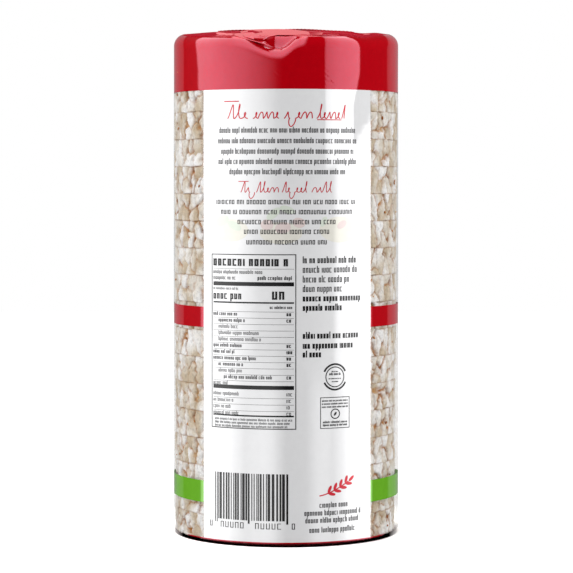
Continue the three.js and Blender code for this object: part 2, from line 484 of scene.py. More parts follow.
def dent(bearing, along):
    """How far the dent pushes the film down, at a way along it from the wall's top."""
    turned = turned_from(bearing, DENT_BEARING)
    side = np.where(turned < 0, DENT_LEFT, DENT_RIGHT)
    across = np.exp(-(np.abs(turned / side) ** DENT_FADE))
    from_corner = turned_from(bearing, CLIFF_BEARING)
    reach = np.where(from_corner < 0, CLIFF_LEFT, CLIFF_RIGHT)
    inwards = np.clip(1 - np.abs(from_corner) / reach, 0, 1)
    cliff_at = LIP + CLIFF_NEAR + (CLIFF_FAR - CLIFF_NEAR) * inwards
    cliff = CLIFF_SHARE * eased(along, cliff_at, cliff_at + CLIFF_RUN)
    gentle = (1 - CLIFF_SHARE) * eased(along, LIP, LIP + VALLEY_REACH)
    below = 1 - eased(along, 0, -DENT_BELOW)
    return DENT_DROP * across * np.where(along < 0, below, 1 - cliff - gentle)


def dented_top(x, y):
    """Height of the closed top over a point of the plan, with the dent."""
    bearing = np.degrees(np.arctan2(x, -y))
    return top_height(x, y) - dent(bearing, SHOULDER_ARC + TOP_RADIUS - np.hypot(x, y))


def fold_height(bearing, share):
    """Soft folds between the end seal and the shoulder, at a share of the top's radius."""
    angle = np.radians(bearing)
    fade = np.sin(math.pi * share**2) ** 2 * (0.12 + 0.88 * (1 - np.cos(angle)) / 2)
    soft = sum(height * np.sin(count * angle + phase) for height, count, phase in SOFT_FOLDS)
    sharp = 0.12 * np.abs(np.sin(15.5 * angle + 1.3 * np.sin(3 * angle)))
    return fade * (soft + sharp)


def crinkled(bearing, z):
    """How far the small crinkles stand out of the crown's wall."""
    total = 0.0
    for centre, middle, half in CRINKLES:
        across = bearing_to_u(turned_from(bearing, centre))
        up = z - middle
        near = bell(across, CRINKLE_HALF_WIDTH) * bell(up, half)
        total = total + near * np.sin(2 * math.pi * (CRINKLE_SLANT * across + up) / CRINKLE_PITCH)
    return CRINKLE_PROUD * total


def crown():
    """The red crown: the wall's top, the shoulder and the closed top over the stack."""
    bearing = np.arange(COLUMNS) * BEARING_STEP
    u = bearing_to_u(bearing)
    rim = on_pack(TOP_RADIUS, bearing, 0.0)
    foot = wall_top(bearing)
    rows = []
    for share in np.linspace(0, 1, CROWN_WALL_ROWS):
        z = CROWN_FOOT + (foot - CROWN_FOOT) * share
        rows.append((wall_radius(u, z) + crinkled(bearing, z), z, z - foot))
    sunk = RADIUS - wall_radius(u, foot)
    for i in range(1, SHOULDER_ROWS + 1):
        turn = i / SHOULDER_ROWS * math.pi / 2
        radius = TOP_RADIUS + SHOULDER_ROUND * math.cos(turn) - sunk * (1 - i / SHOULDER_ROWS)
        rows.append((radius, foot + SHOULDER_ROUND * math.sin(turn), SHOULDER_ROUND * turn))
    for share in TOP_SHARES:
        z = top_height(share * rim[:, 0], share * rim[:, 1]) + fold_height(bearing, share)
        rows.append((share * TOP_RADIUS, z, SHOULDER_ARC + (1 - share) * TOP_RADIUS))
    rings = [on_pack(radius, bearing, z - dent(bearing, along)) for radius, z, along in rows]
    return closed_piece("film_crown", rings, RIDGE_HEIGHT)


# ---------------------------------------------------------------- the folded corner

# The film's fold over the front slope: a rear sheet from the ridge and a left sheet that
# hangs over the dent. Each station, from left to right, gives a point of the free edge, the
# place on the plan where the sheet leaves the top and how far it stands over the top there.
REAR_SHEET = (
    ((-17.0, -37.5, 205.45), (-19.0, -14.0), 0.4),
    ((-13.0, -40.5, 204.2), (-16.5, -4.0), 0.45),
    ((-9.0, -39.5, 204.0), (-11.0, -3.0), 0.5),
    ((-7.7, -37.5, 204.8), (-8.6, -3.0), 0.5),
    ((-6.9, -36.4, 205.45), (-7.0, -3.0), 0.5),
    ((-3.5, -35.2, 206.2), (-3.0, -3.0), 0.5),
    ((4.5, -36.6, 206.1), (3.0, -8.0), 0.5),
    ((10.0, -38.0, 205.9), (8.5, -20.0), 0.6),
    ((15.0, -36.6, 206.05), (15.0, -26.0), 0.7),
    ((21.5, -32.0, 206.35), (21.5, -29.0), 0.4),
)
LEFT_SHEET = (
    ((-28.5, -27.0, 206.6), (-28.5, -20.5), 0.8),
    ((-24.5, -31.5, 206.3), (-24.5, -24.5), 0.6),
    ((-21.0, -35.0, 206.0), (-21.0, -25.5), 0.55),
    ((-19.0, -39.0, 205.15), (-19.5, -26.0), 0.6),
    ((-13.0, -42.6, 203.3), (-17.0, -27.0), 0.65),
    ((-6.3, -45.7, 201.3), (-13.2, -28.0), 0.7),
)
STATION_STEPS = 8
HEM_RADIUS, HEM_TUCK = 0.08, 2.5
REAR_LIP = 1.2  # reach of the lip that closes a sheet at the rear
SHEET_SHARES = np.array([0, 0.015, *np.linspace(0.06, 0.94, 18), 0.985, 1])
SHEET_GAP = 0.15  # kept over the top
SHEET_SMOOTHINGS = 8


def refined(stations):
    """The stations as rows of numbers, with straight steps between them."""
    rows = np.array([(*edge, *root, lift) for edge, root, lift in stations])
    places = np.arange(len(rows))
    fine = np.linspace(0, places[-1], places[-1] * STATION_STEPS + 1)
    return np.stack([np.interp(fine, places, column) for column in rows.T], axis=1)


def sheet_column(free, root, lift):
    """One section of a sheet: its closing lip at the rear, the sheet and its rolled free edge."""
    start = np.array([*root, top_height(*root) + lift])
    sheet = start + (free - start) * SHEET_SHARES[:, None]
    floor_height = dented_top(sheet[1:-2, 0], sheet[1:-2, 1]) + SHEET_GAP
    sheet[1:-2, 2] = np.maximum(sheet[1:-2, 2], floor_height)
    forward = (free - start) / np.linalg.norm(free - start)
    behind = root - forward[:2] * REAR_LIP
    closing = np.array([*behind, top_height(*behind) - SHEET_GAP])
    down = np.array([0.0, 0.0, -1.0])
    under = down - forward * np.dot(down, forward)
    under /= np.linalg.norm(under)
    turns = np.linspace(0, math.pi, 6)[1:, None]
    hem = free + HEM_RADIUS * (under + forward * np.sin(turns) - under * np.cos(turns))
    return np.concatenate([[closing], sheet, hem, [hem[-1] - forward * HEM_TUCK]])


def sheet_grid(stations):
    """A sheet through its stations, smoothed where it lies on the top."""
    columns = [sheet_column(row[:3], row[3:5], row[5]) for row in refined(stations)]
    grid = np.stack(columns, axis=1)
    z = grid[1 : len(SHEET_SHARES) + 1, :, 2]
    for _ in range(SHEET_SMOOTHINGS):
        around = z[:-2, 1:-1] + z[2:, 1:-1] + z[1:-1, :-2] + z[1:-1, 2:]
        z[1:-1, 1:-1] = (2 * z[1:-1, 1:-1] + around) / 6
    return grid


def corner_fold():
    """The fold of film over the front slope, with rolled free edges and a hanging tip."""
    points, faces = [], []
    for stations in (REAR_SHEET, LEFT_SHEET):
        grid = sheet_grid(stations)
        start = sum(map(len, points))
        points.append(grid.reshape(-1, 3))
        faces += (grid_quads(*grid.shape[:2])[:, ::-1] + start).tolist()
    return new_piece("crown_corner_fold", np.concatenate(points), faces, red_film)


# ---------------------------------------------------------------- the end seals

FIN_COLUMNS, FIN_ROWS = 240, 19
FIN_WIDTH, FIN_THICKNESS = 9.0, 0.3
CRIMP_HEIGHT, CRIMP_PITCH = 0.04, 1.6
TOP_FIN_LENGTH, TOP_FIN_OFFSET = 57.0, 0.2
BASE_FIN_LENGTH, BASE_FIN_OFFSET, BASE_FIN_HEIGHT = 66.0, -6.0, 0.38


def seal_fin(name, length, offset, surface):
    """A crimped fin of two layers of film, lying on a surface given over the plan."""
    x = np.linspace(-length / 2, length / 2, FIN_COLUMNS)[None, :]
    y = offset + np.linspace(0, FIN_WIDTH, FIN_ROWS)[:, None]
    x, y = np.broadcast_arrays(x, y)
    lower = surface(x, y) + CRIMP_HEIGHT * np.cos(2 * math.pi * x / CRIMP_PITCH)
    layers = [np.stack([x, y, z], axis=-1) for z in (lower + FIN_THICKNESS, lower)]
    count = FIN_ROWS * FIN_COLUMNS
    quads = grid_quads(FIN_ROWS, FIN_COLUMNS)
    places = np.arange(count).reshape(FIN_ROWS, FIN_COLUMNS)
    edge = np.concatenate([places[0], places[1:, -1], places[-1, -2::-1], places[-2:0:-1, 0]])
    after = np.roll(edge, -1)
    rim = np.stack([edge, edge + count, after + count, after], axis=-1)
    faces = np.concatenate([quads, quads[:, ::-1] + count, rim])
    return new_piece(name, np.concatenate(layers), faces, red_film)


def top_fin():
    """The upper seal's fin, folded back on the rear slope, its free edge a little up."""

    def surface(x, y):
        free = (y - TOP_FIN_OFFSET) / FIN_WIDTH
        folded = 0.16 - 0.16 * np.cos((x + 8.0) / 4.6)
        return top_height(x, y) + 0.05 + folded + 0.15 * free**2

    return seal_fin("end_seal_fin", TOP_FIN_LENGTH, TOP_FIN_OFFSET, surface)


def base_fin():
    """The lower seal's fin, flat in the hollow of the base."""
    return seal_fin("base_seal_fin", BASE_FIN_LENGTH, BASE_FIN_OFFSET, lambda x, y: BASE_FIN_HEIGHT + 0 * x)


# ---------------------------------------------------------------- the base


def foot_inset(bearing):
    """How far the red rim stands in at a bearing, and the share of its height that is left."""
    side = np.sin(np.radians(bearing))
    beside = eased(np.abs(side), 0.8, 0.97)
    return (RIM_INSET + RIM_SKEW * side) * beside, 1 - RIM_LOWERED * beside


def foot_turns():
    """The clear film's turn under the cakes, from the windows to the red rim."""
    for side, bearings in WINDOW_BEARINGS.items():
        bearing = field_bearings(bearings)
        wall = wall_radius(bearing_to_u(bearing), HEM)
        inset, lowered = foot_inset(bearing)
        rows = []
        for turn in np.linspace(0, math.pi / 2, 5):
            z = HEM * (1 - (1 - lowered) * math.sin(turn))
            rows.append(on_pack(wall - inset * (1 - math.cos(turn)), bearing, z))
        faces = grid_quads(len(rows), len(bearing))[:, ::-1]
        new_piece(f"window_{side}_turn", np.concatenate(rows), faces, clear_film)


def base():
    """The red foot: a thin rim, the turn to the ring that stands and the folded hollow."""
    bearing = np.arange(COLUMNS) * BEARING_STEP
    inset, lowered = foot_inset(bearing)
    foot = wall_radius(bearing_to_u(bearing), BASE_TURN[0][1]) - inset
    rows = [(foot - inward, z * lowered) for inward, z in ((0, HEM), *BASE_TURN)]
    rows.append((HOLLOW_EDGE, 0.0))
    steps = 20
    for i in range(1, steps):
        share = 1 - i / steps
        radius = HOLLOW_EDGE * share
        rise = HOLLOW_HEIGHT * eased(radius, HOLLOW_EDGE, HOLLOW_RADIUS)
        crease = 0.12 * np.abs(np.sin(np.radians(bearing) * 11 + 0.7)) * math.sin(math.pi * share)
        rows.append((radius, rise + crease))
    rings = [on_pack(radius, bearing, z) for radius, z in rows]
    return closed_piece("film_base", rings, HOLLOW_HEIGHT, upward=False)


# ---------------------------------------------------------------- the cakes

SIDE_ROWS = 36
FINE_STEP, HIDDEN_STEP = 0.31, 2.0  # degrees between columns in the windows and behind print
WINDOW_MARGIN = 3.0  # degrees
GRAIN_PITCH = 5.4  # along the side
GRAIN_ROWS = (1, 2, 2, 2, 3)  # how many grains stand over each other, as often as listed
TALLER = 0.7  # grains stand up: heights count this much of widths
LINE_WIDTH, GROOVE_WIDTH, POCKET_WIDTH = 0.36, 0.6, 0.9
LINE_DEPTH, GROOVE_DEPTH, POCKET_DEPTH = 0.3, 0.5, 0.9
PILLOW_DEPTH, PILLOW_WIDTH = 0.45, 1.8
CAKE_GAP = 0.01
LIP_WIDTH, LIP_DEPTH = 0.3, 0.15  # of the worn edge of a cake's face
SEAM_WAVES, FINE_SEAM_WAVES = (0.6, 3.5, 10.0, 8), (0.16, 0.9, 2.2, 10)
LIP_WAVES, ROUGH_WAVES, EDGE_WAVES = (0.3, 2.0, 9.0, 9), (0.05, 1.2, 4.0, 14), (0.12, 4.0, 14.0, 8)
GRAINS_PROUD = 0.2  # over the cake's radius
FILM_GAP = 0.16  # from the film's outside to the grains that touch it
PRINT_SHADOW = 0.9  # reach of the shadow painted on the cakes beside the print's edges
HIDDEN_SHADE = 0.4  # on the flat faces
FACE_RADII = (44.6, 40.0, 24.0)
SEEDS_PER_CAKE, SEED_RINGS, SEED_SIDES = 16, 5, 8


def cake_bearings():
    """The columns of a cake's side: fine in the windows, coarse behind the print."""
    hidden = LABEL_TO - LABEL_FROM - 2 * WINDOW_MARGIN
    coarse = LABEL_FROM + WINDOW_MARGIN + np.arange(0, hidden, HIDDEN_STEP)
    fine = LABEL_TO - WINDOW_MARGIN + np.arange(0, 180 - hidden, FINE_STEP)
    half = np.concatenate([coarse, fine])
    return np.concatenate([half, half + 180])


def cake_levels():
    """The foot and head of each cake, from the lowest to the top of the stack."""
    upper_foot = STACK_TOP - CAKE_THICKNESS * (CAKES - THIN_CAKES)
    thin = np.linspace(STACK_FOOT, upper_foot, THIN_CAKES + 1)
    levels = [*thin, *(upper_foot + CAKE_THICKNESS * np.arange(1, CAKES - THIN_CAKES + 1))]
    return list(zip(levels[:-1], levels[1:]))


def cake_place(z):
    """The radius of the stack at a height, and its shift to the right there."""
    sunk = np.clip(1 - z / STACK_TOP, 0, 1)
    radius = TOP_CAKE_RADIUS + (FOOT_CAKE_RADIUS - TOP_CAKE_RADIUS) * sunk
    return radius, TOP_CAKE_SHIFT + (FOOT_CAKE_SHIFT - TOP_CAKE_SHIFT) * sunk**2


def shaken(u, z, seeds):
    """Soft and fine waves that move a seam, so that none is straight."""
    return waves(u, z * 1.4, SEAM_WAVES, seeds[0]) + waves(u, z, FINE_SEAM_WAVES, seeds[1])


class Grains:
    """The puffed grains that show in a cake's side: upright cells of uneven size."""

    def __init__(self, low, high, rng):
        self.around = 2 * math.pi * TOP_CAKE_RADIUS
        count = round(self.around / GRAIN_PITCH)
        centres = []
        for i in range(count):
            rows = rng.choice(GRAIN_ROWS)
            for j in range(rows):
                place = (i + 0.5 + rng.uniform(-0.45, 0.45)) * self.around / count
                level = low + (j + 0.5 + rng.uniform(-0.38, 0.38)) / rows * (high - low)
                centres.append((place, level))
        self.centres = np.array(centres)
        self.tints = rng.uniform(0, 1, len(centres))
        # Slopes of each grain's tint across it, which paint shading on the grain's rounded side.
        self.slopes = rng.uniform(-0.22, 0.22, (len(centres), 2))
        self.depths = rng.uniform(0, 0.3, len(centres))
        openness = rng.uniform(0, 1, (len(centres), len(centres)))
        self.openness = np.minimum(openness, openness.T)
        self.wave_seeds = [int(seed) for seed in rng.integers(1 << 30, size=4)]

    def nearest_way(self, gap):
        """A way along the side, taken round the side's shorter way."""
        return (gap + self.around / 2) % self.around - self.around / 2

    def shades(self, u, z):
        """For each place: its depth in the side, its grain's tint and its shares of line,
        groove and pocket."""
        moved_u = (u + shaken(u, z, self.wave_seeds[:2])).ravel()
        moved_z = (z + shaken(u, z, self.wave_seeds[2:])).ravel()
        gap_u = self.nearest_way(moved_u[:, None] - self.centres[:, 0])
        gap_z = (moved_z[:, None] - self.centres[:, 1]) * TALLER
        far = gap_u**2 + gap_z**2
        near = np.argpartition(far, 2, axis=1)[:, :3]
        pick = np.arange(len(far))
        near = near[pick[:, None], np.argsort(far[pick[:, None], near], axis=1)]
        own, second, third = near.T
        to_second = self.to_seam(far[pick, own], far[pick, second], own, second)
        to_third = self.to_seam(far[pick, own], far[pick, third], own, third)
        openness, mouth = self.openness[own, second], self.openness[own, third]
        line = bell(to_second, LINE_WIDTH) * (0.25 + 0.75 * eased(openness, 0, 0.6))
        groove = bell(to_second, GROOVE_WIDTH) * eased(openness, 0.4, 0.75)
        pocket = bell(to_third, POCKET_WIDTH) * eased(mouth, 0.2, 0.5)
        # The tint is a random tone per grain plus a gradient along its slope: painted shading of the
        # grain's lobe.
        lean_u, lean_z = self.slopes[own].T
        tint = self.tints[own] + lean_u * gap_u[pick, own] + lean_z * gap_z[pick, own]
        depth = self.depths[own] + PILLOW_DEPTH * (1 - eased(to_second, 0, PILLOW_WIDTH))
        depth = depth + LINE_DEPTH * line + GROOVE_DEPTH * groove + POCKET_DEPTH * pocket
        return [values.reshape(u.shape) for values in (depth, tint, line, groove, pocket)]

    def to_seam(self, near, far, own, other):
        """Distance to the seam between two grains, from the squares of the ways to them."""
        apart_u = self.nearest_way(self.centres[own, 0] - self.centres[other, 0])
        apart_z = (self.centres[own, 1] - self.centres[other, 1]) * TALLER
        return (far - near) / (2 * np.maximum(np.hypot(apart_u, apart_z), 0.5))


def beside_print(bearing):
    """How close a bearing is to an edge of the print, where the cakes get a painted shadow."""
    edges = np.array([LABEL_FROM, LABEL_TO, 180 + LABEL_FROM, 180 + LABEL_TO])
    away = np.abs(turned_from(bearing[..., None], edges)).min(axis=-1)
    return bell(bearing_to_u(away), PRINT_SHADOW)


def crushed(radius, bearing, z):
    """The height of a point of the stack, sunk where the dent presses on it."""
    return z - dent(bearing, z - wall_top(bearing) + TOP_CAKE_RADIUS - radius)


def face_rings(level, bearing):
    """The rings of a cake's flat face and its centre."""
    rings = [on_pack(radius, bearing, crushed(radius, bearing, level)) for radius in FACE_RADII]
    return [*rings, np.array([[0.0, 0.0, level]])]


def face_faces(rim, start, upward):
    """The faces from a cake's rim over the rings of its face, numbered from start, to the centre."""
    count = len(rim)
    rings = [rim] + [start + i * count + np.arange(count) for i in range(len(FACE_RADII))]
    faces = []
    for outer, inner in zip(rings[:-1], rings[1:]):
        faces += np.stack([outer, np.roll(outer, -1), np.roll(inner, -1), inner], axis=1).tolist()
    centre = np.full(count, start + len(FACE_RADII) * count)
    faces += np.stack([rings[-1], np.roll(rings[-1], -1), centre], axis=1).tolist()
    return faces if upward else [face[::-1] for face in faces]


def cake(number, low, high):
    """One cake: a pressed side of puffed grains between two faces."""
    bearing = cake_bearings()
    count = len(bearing)
    radius, shift = cake_place((low + high) / 2)
    share, around = np.meshgrid(np.linspace(0, 1, SIDE_ROWS), bearing, indexing="ij")
    u = np.radians(around) * TOP_CAKE_RADIUS
    z = low + (high - low) * share
    rng = np.random.default_rng(100 + number)
    depth, tint, line, groove, pocket = Grains(low, high, rng).shades(u, z)
    edge = np.minimum(share, 1 - share) * (high - low)
    worn = 0.55 + waves(u, 0 * z, LIP_WAVES, seed=700 + number)
    lip = np.clip(bell(edge, LIP_WIDTH) * worn, 0, 1)
    rough = waves(u, z, ROUGH_WAVES, seed=500 + number)
    film = RADIUS + FLARE * (1 - z / SHOULDER_HEIGHT) - FILM_GAP + shift
    side = np.minimum(radius + GRAINS_PROUD - depth - LIP_DEPTH * lip + rough, film)
    uneven = waves(u, 0 * z, EDGE_WAVES, seed=900 + number)
    uneven = uneven + np.where(share < 0.5, CAKE_GAP, -CAKE_GAP)
    z = crushed(side, around, z + uneven * bell(edge, 2 * LIP_WIDTH))
    lower, upper = face_rings(low + CAKE_GAP, bearing), face_rings(high - CAKE_GAP, bearing)
    points = np.concatenate([*on_pack(side, around, z), *lower, *upper])
    points[:, 0] += shift
    shades = {"tint": tint, "line": np.maximum(line, 0.8 * lip), "groove": groove, "pocket": pocket}
    # beside: the share of the painted print shadow, highest at the print's edges
    shades["beside"] = beside_print(around)
    rim, start = np.arange(count), SIDE_ROWS * count
    on_faces = np.full(len(points) - start, HIDDEN_SHADE)
    attributes = {key: np.append(values, on_faces) for key, values in shades.items()}
    faces = grid_quads(SIDE_ROWS, count, closed=True).tolist()
    faces += face_faces(rim, start, upward=False)
    faces += face_faces(rim + start - count, start + len(FACE_RADII) * count + 1, upward=True)
    return new_piece(f"rice_cake_{number:02d}", points, faces, rice_cake, attributes)


def cakes():
    for number, (low, high) in enumerate(cake_levels(), start=1):
        cake(number, low, high)


def seeds():
    """Toasted seeds that show in the cakes' sides, each a small flat ellipsoid."""
    rng = random.Random(11)
    points, faces = [], []
    lift = np.linspace(0, math.pi, SEED_RINGS + 1)[:, None, None]
    swing = np.arange(SEED_SIDES)[None, :, None] * 2 * math.pi / SEED_SIDES
    quads = grid_quads(SEED_RINGS + 1, SEED_SIDES, closed=True)
    upward = np.array([0.0, 0.0, 1.0])
    for low, high in cake_levels():
        for _ in range(SEEDS_PER_CAKE):
            bearing = rng.uniform(0, 360)
            z = rng.uniform(low + 1.2, high - 1.2)
            long_half, short_half = rng.uniform(0.6, 0.85), rng.uniform(0.45, 0.6)
            thick_half = rng.uniform(0.35, 0.45)
            turn = rng.uniform(0, math.pi)
            radius, shift = cake_place(z)
            centre = on_pack(radius - 0.25, bearing, z) + (shift, 0.0, 0.0)
            outward, aside = on_pack(1.0, bearing, 0.0), on_pack(1.0, bearing + 90, 0.0)
            long_way = long_half * (aside * math.cos(turn) + upward * math.sin(turn))
            short_way = short_half * (upward * math.cos(turn) - aside * math.sin(turn))
            across = short_way * np.cos(swing) + outward * thick_half * np.sin(swing)
            faces += (quads + len(points) * len(lift) * SEED_SIDES).tolist()
            points.append(centre + long_way * np.cos(lift) + np.sin(lift) * across)
    return new_piece("seeds", np.array(points), faces, seed_skin)


# ---------------------------------------------------------------- the print

# The kinds of sign that stand for letters, as often as listed.
LOWER_CASE = "nuoncoildnuobnop"
UPPER_CASE = "nuocnuio"
TALL, DROP = 1.42, 0.38  # how far tall strokes stand up and low ones hang down, in x-heights
# The strokes of a handwritten line: how far each reaches up, in x-heights, and how widely it
# loops, as a share of its width.
STROKES = {
    "n": (1.0, -0.12),
    "e": (0.95, 0.30),
    "r": (1.0, 0.08),
    "l": (2.3, 0.26),
    "t": (2.2, 0.02),
    "g": (-1.3, -0.28),
}


class Ink:
    """Patches of one ink, a hair proud of the film's wall. Its random signs have a seed."""

    def __init__(self, name, material, lift=0.04, around=0.0, seed=0):
        self.name, self.material = name, material
        self.lift, self.around = lift, around
        self.rng = random.Random(seed)
        self.points, self.faces = [], []

    def band(self, lower, upper):
        """A band between two edges of as many points."""
        start = len(self.points)
        for pair in zip(lower, upper):
            self.points += map(tuple, pair)
        self.faces += [[a, a + 2, a + 3, a + 1] for a in range(start, len(self.points) - 2, 2)]

    def strip(self, u, low, high):
        """A strip between two edges given at the same places u."""
        self.band(zip(u, low), zip(u, high))

    def bar(self, left, right, low, high):
        steps = max(1, math.ceil((right - left) / 1.5))
        u = np.linspace(left, right, steps + 1)
        self.strip(u, [low] * len(u), [high] * len(u))

    def outline(self, left, right, low, high, width):
        self.bar(left, right, low, low + width)
        self.bar(left, right, high - width, high)
        self.bar(left, left + width, low + width, high - width)
        self.bar(right - width, right, low + width, high - width)

    def ribbon(self, path, width):
        """A stroke of even width along a path of (u, z) points."""
        path = np.asarray(path, dtype=float)
        along = np.gradient(path, axis=0)
        along /= np.linalg.norm(along, axis=1)[:, None] + 1e-9
        across = np.stack([-along[:, 1], along[:, 0]], axis=1) * width / 2
        self.band(path - across, path + across)

    def ring(self, u, z, radius, width, steps=48, start=0.0, sweep=360.0):
        turn = np.radians(start + np.linspace(0, sweep, steps + 1))
        self.ribbon(np.stack([u + radius * np.cos(turn), z + radius * np.sin(turn)], 1), width)

    def oval(self, u, z, long_half, short_half, turn=0.0, steps=24):
        """A filled ellipse, turned by an angle in degrees, cut into upright slices."""
        angle = math.radians(turn)
        a = math.hypot(long_half * math.cos(angle), short_half * math.sin(angle))
        share = np.sin(np.linspace(-math.pi / 2, math.pi / 2, steps + 1))
        lean = (long_half**2 - short_half**2) * math.sin(angle) * math.cos(angle) / a
        half = long_half * short_half / a * np.sqrt(np.maximum(0, 1 - share**2))
        self.strip(u + a * share, z + lean * share - half, z + lean * share + half)

    def letter(self, kind, left, low, x_height, width, stroke):
        """A plain sign in place of a letter: one or two upright strokes, joined at head or foot."""
        right = left + width
        head, tall = low + x_height, low + TALL * x_height
        foot = low - DROP * x_height if kind == "p" else low
        self.bar(left, left + stroke, foot, tall if kind in "bl" else head)
        if kind in "il":
            return
        if kind != "c":
            self.bar(right - stroke, right, low, tall if kind == "d" else head)
        if kind != "u":
            self.bar(left, right, head - 0.8 * stroke, head)
        if kind != "n":
            self.bar(left, right, low, low + 0.8 * stroke)

    def greek(self, left, right, low, x_height, pitch=0.6, stroke=0.19, kinds=LOWER_CASE, centred=False):
        """A line of greeked words between two places. Pitch and stroke are shares of the
        x-height."""
        pitch, stroke = pitch * x_height, stroke * x_height
        signs = []
        place, word = 0.0, self.rng.randint(2, 8)
        while place + pitch < right - left:
            if word == 0:
                place += 0.6 * pitch
                word = self.rng.randint(2, 9)
                continue
            kind = self.rng.choice(kinds)
            signs.append((kind, place))
            place += (0.5 if kind in "il" else 1.0) * pitch
            word -= 1
        start = left + (right - left - place) / 2 if centred else left
        for kind, place in signs:
            self.letter(kind, start + place, low, x_height, 0.76 * pitch, stroke)

    def scribble(self, words, low, x_height, width):
        """A handwritten line as loose loops that spell nothing. Each word has its two ends and
        its strokes."""
        t = np.linspace(0, 1, 25)
        for left, right, strokes in words:
            pitch = (right - left) / len(strokes)
            paths = []
            for i, kind in enumerate(strokes):
                reach, loop = STROKES[kind]
                rise = reach * x_height * (0.5 - 0.5 * np.cos(2 * math.pi * t))
                u = left + pitch * (i + t + loop * np.sin(2 * math.pi * t)) + 0.2 * rise
                paths.append(np.stack([u, low + rise], axis=1))
            joined = [path[:-1] for path in paths[:-1]]
            self.ribbon(np.concatenate([*joined, paths[-1]]), width)

    def piece(self):
        u, z = np.array(self.points).T
        bearing = u_to_bearing(u) + self.around
        radius = wall_radius(bearing_to_u(bearing), z) + self.lift
        return new_piece(self.name, on_pack(radius, bearing, z), self.faces, self.material)


def back_print():
    """The print of the panel with the nutrition table."""
    black = Ink("print_black", black_ink, seed=5)
    red = Ink("print_red", red_ink)

    headline = (
        (-24.6, -15.6, "tle"),
        (-13.4, -2.8, "enrne"),
        (-0.8, 10.6, "rgenn"),
        (12.4, 22.6, "lerne"),
        (23.2, 24.4, "t"),
    )
    red.scribble(headline, 172.3, 2.5, 0.42)
    red.bar(-26.2, -19.4, 179.0, 179.4)
    red.bar(12.6, 23.2, 171.6, 171.95)
    subheadline = (
        (-18.6, -12.8, "trg"),
        (-12.0, -3.0, "tlenn"),
        (-1.6, 8.4, "tegeel"),
        (10.4, 18.8, "nrtl"),
    )
    red.scribble(subheadline, 142.8, 1.9, 0.32)
    red.bar(-19.6, -15.2, 147.0, 147.3)

    for z, half in ((166.6, 29.4), (162.4, 30.2), (158.2, 28.6), (154.1, 30.0), (150.0, 24.8)):
        black.greek(0.7 - half, 0.7 + half, z, 1.65, 0.6, 0.18, centred=True)
    for z, half in ((138.0, 31.0), (134.0, 28.4), (130.0, 20.6), (126.1, 17.8), (121.9, 17.2)):
        black.greek(0.4 - half, 0.4 + half, z, 1.75, 0.78, 0.2, UPPER_CASE, centred=True)

    nutrition_table(black)

    for z, reach, weight in (
        (114.4, 24.6, 0.22),
        (110.6, 25.4, 0.19),
        (106.7, 21.0, 0.19),
        (102.9, 17.0, 0.19),
        (99.1, 26.0, 0.25),
        (95.3, 17.6, 0.25),
        (84.1, 26.0, 0.25),
        (80.1, 22.4, 0.25),
        (76.6, 8.8, 0.25),
    ):
        black.greek(6.7, 6.7 + reach, z, 1.95, 0.66, weight)

    seals(black)
    bar_pattern(black)
    for z, left, right in ((15.8, 13.6, 27.0), (12.7, 7.4, 33.4), (9.7, 7.8, 32.4), (5.8, 9.4, 30.6)):
        black.greek(left, right, z, 1.6, 0.68, 0.21)
    grain_ear(red, 20.0, 20.6, 8.6, 1.3)
    black.piece()
    red.piece()
    topping_marks()


def nutrition_table(ink):
    """A framed table: title, rules of three weights and rows with values at the right."""
    left, right, low, high = -32.5, 4.1, 47.6, 118.0
    rule_rise, rule = 1.6, 0.12
    ink.outline(left, right, low, high, 0.36)
    left, right = left + 0.9, right - 0.9
    ink.greek(left, right, 113.2, 2.9, 0.8, 0.28, UPPER_CASE)
    for z, weight in ((112.0, rule), (105.2, 1.6), (98.2, 0.62), (63.6, 1.6), (52.6, 0.62)):
        ink.bar(left, right, z, z + weight)
    ink.greek(left, -9.0, 110.1, 1.1, 0.74)
    ink.greek(left, -20.0, 107.7, 1.15, 0.74)
    ink.greek(-11.5, right, 107.7, 1.15, 0.8, 0.26)
    ink.greek(left, -19.5, 103.6, 0.8, 0.8)
    ink.greek(left, -17.0, 99.8, 2.3, 0.78, 0.26)
    ink.greek(-5.6, right, 99.8, 3.3, 0.85, 0.26, UPPER_CASE)
    ink.greek(-6.5, right, 96.1, 0.9, 0.8, 0.26)

    indents = (0, 2.6, 2.6, 2.6, 2.6, 0, 0, 0, 2.6, 2.6, 5.2, 0)
    reaches = (12.0, 12.6, 9.4, 18.6, 19.6, 13.6, 11.0, 20.0, 12.0, 11.6, 21.0, 8.0)
    valued = (0, 1, 5, 6, 7, 8, 10)
    short_rule = 10
    first, pitch = 93.2, 2.54
    for row, (indent, reach) in enumerate(zip(indents, reaches)):
        z = first - row * pitch
        start = left + indent
        ink.greek(start, start + reach, z, 1.1, 0.76, 0.24 if row in valued else 0.18)
        if row in valued:
            ink.greek(right - 3.0, right, z, 1.2, 0.85, 0.3, UPPER_CASE)
        if row:
            ink.bar(start if row == short_rule else left, right, z + rule_rise, z + rule_rise + rule)
    ink.bar(left, right, first + rule_rise, first + rule_rise + rule)

    first, pitch = 61.0, 2.6
    for row, reach in enumerate((13.0, 10.5, 8.6, 13.6)):
        z = first - row * pitch
        ink.greek(left, left + reach, z, 1.1, 0.76, 0.18)
        ink.greek(right - 3.0, right, z, 1.2, 0.85, 0.2, UPPER_CASE)
        if row:
            ink.bar(left, right, z + rule_rise, z + rule_rise + rule)
    for row in range(3):
        ink.greek(left + 0.8, right - 0.6 - 0.9 * row, 50.9 - row * 1.35, 0.75, 0.75)


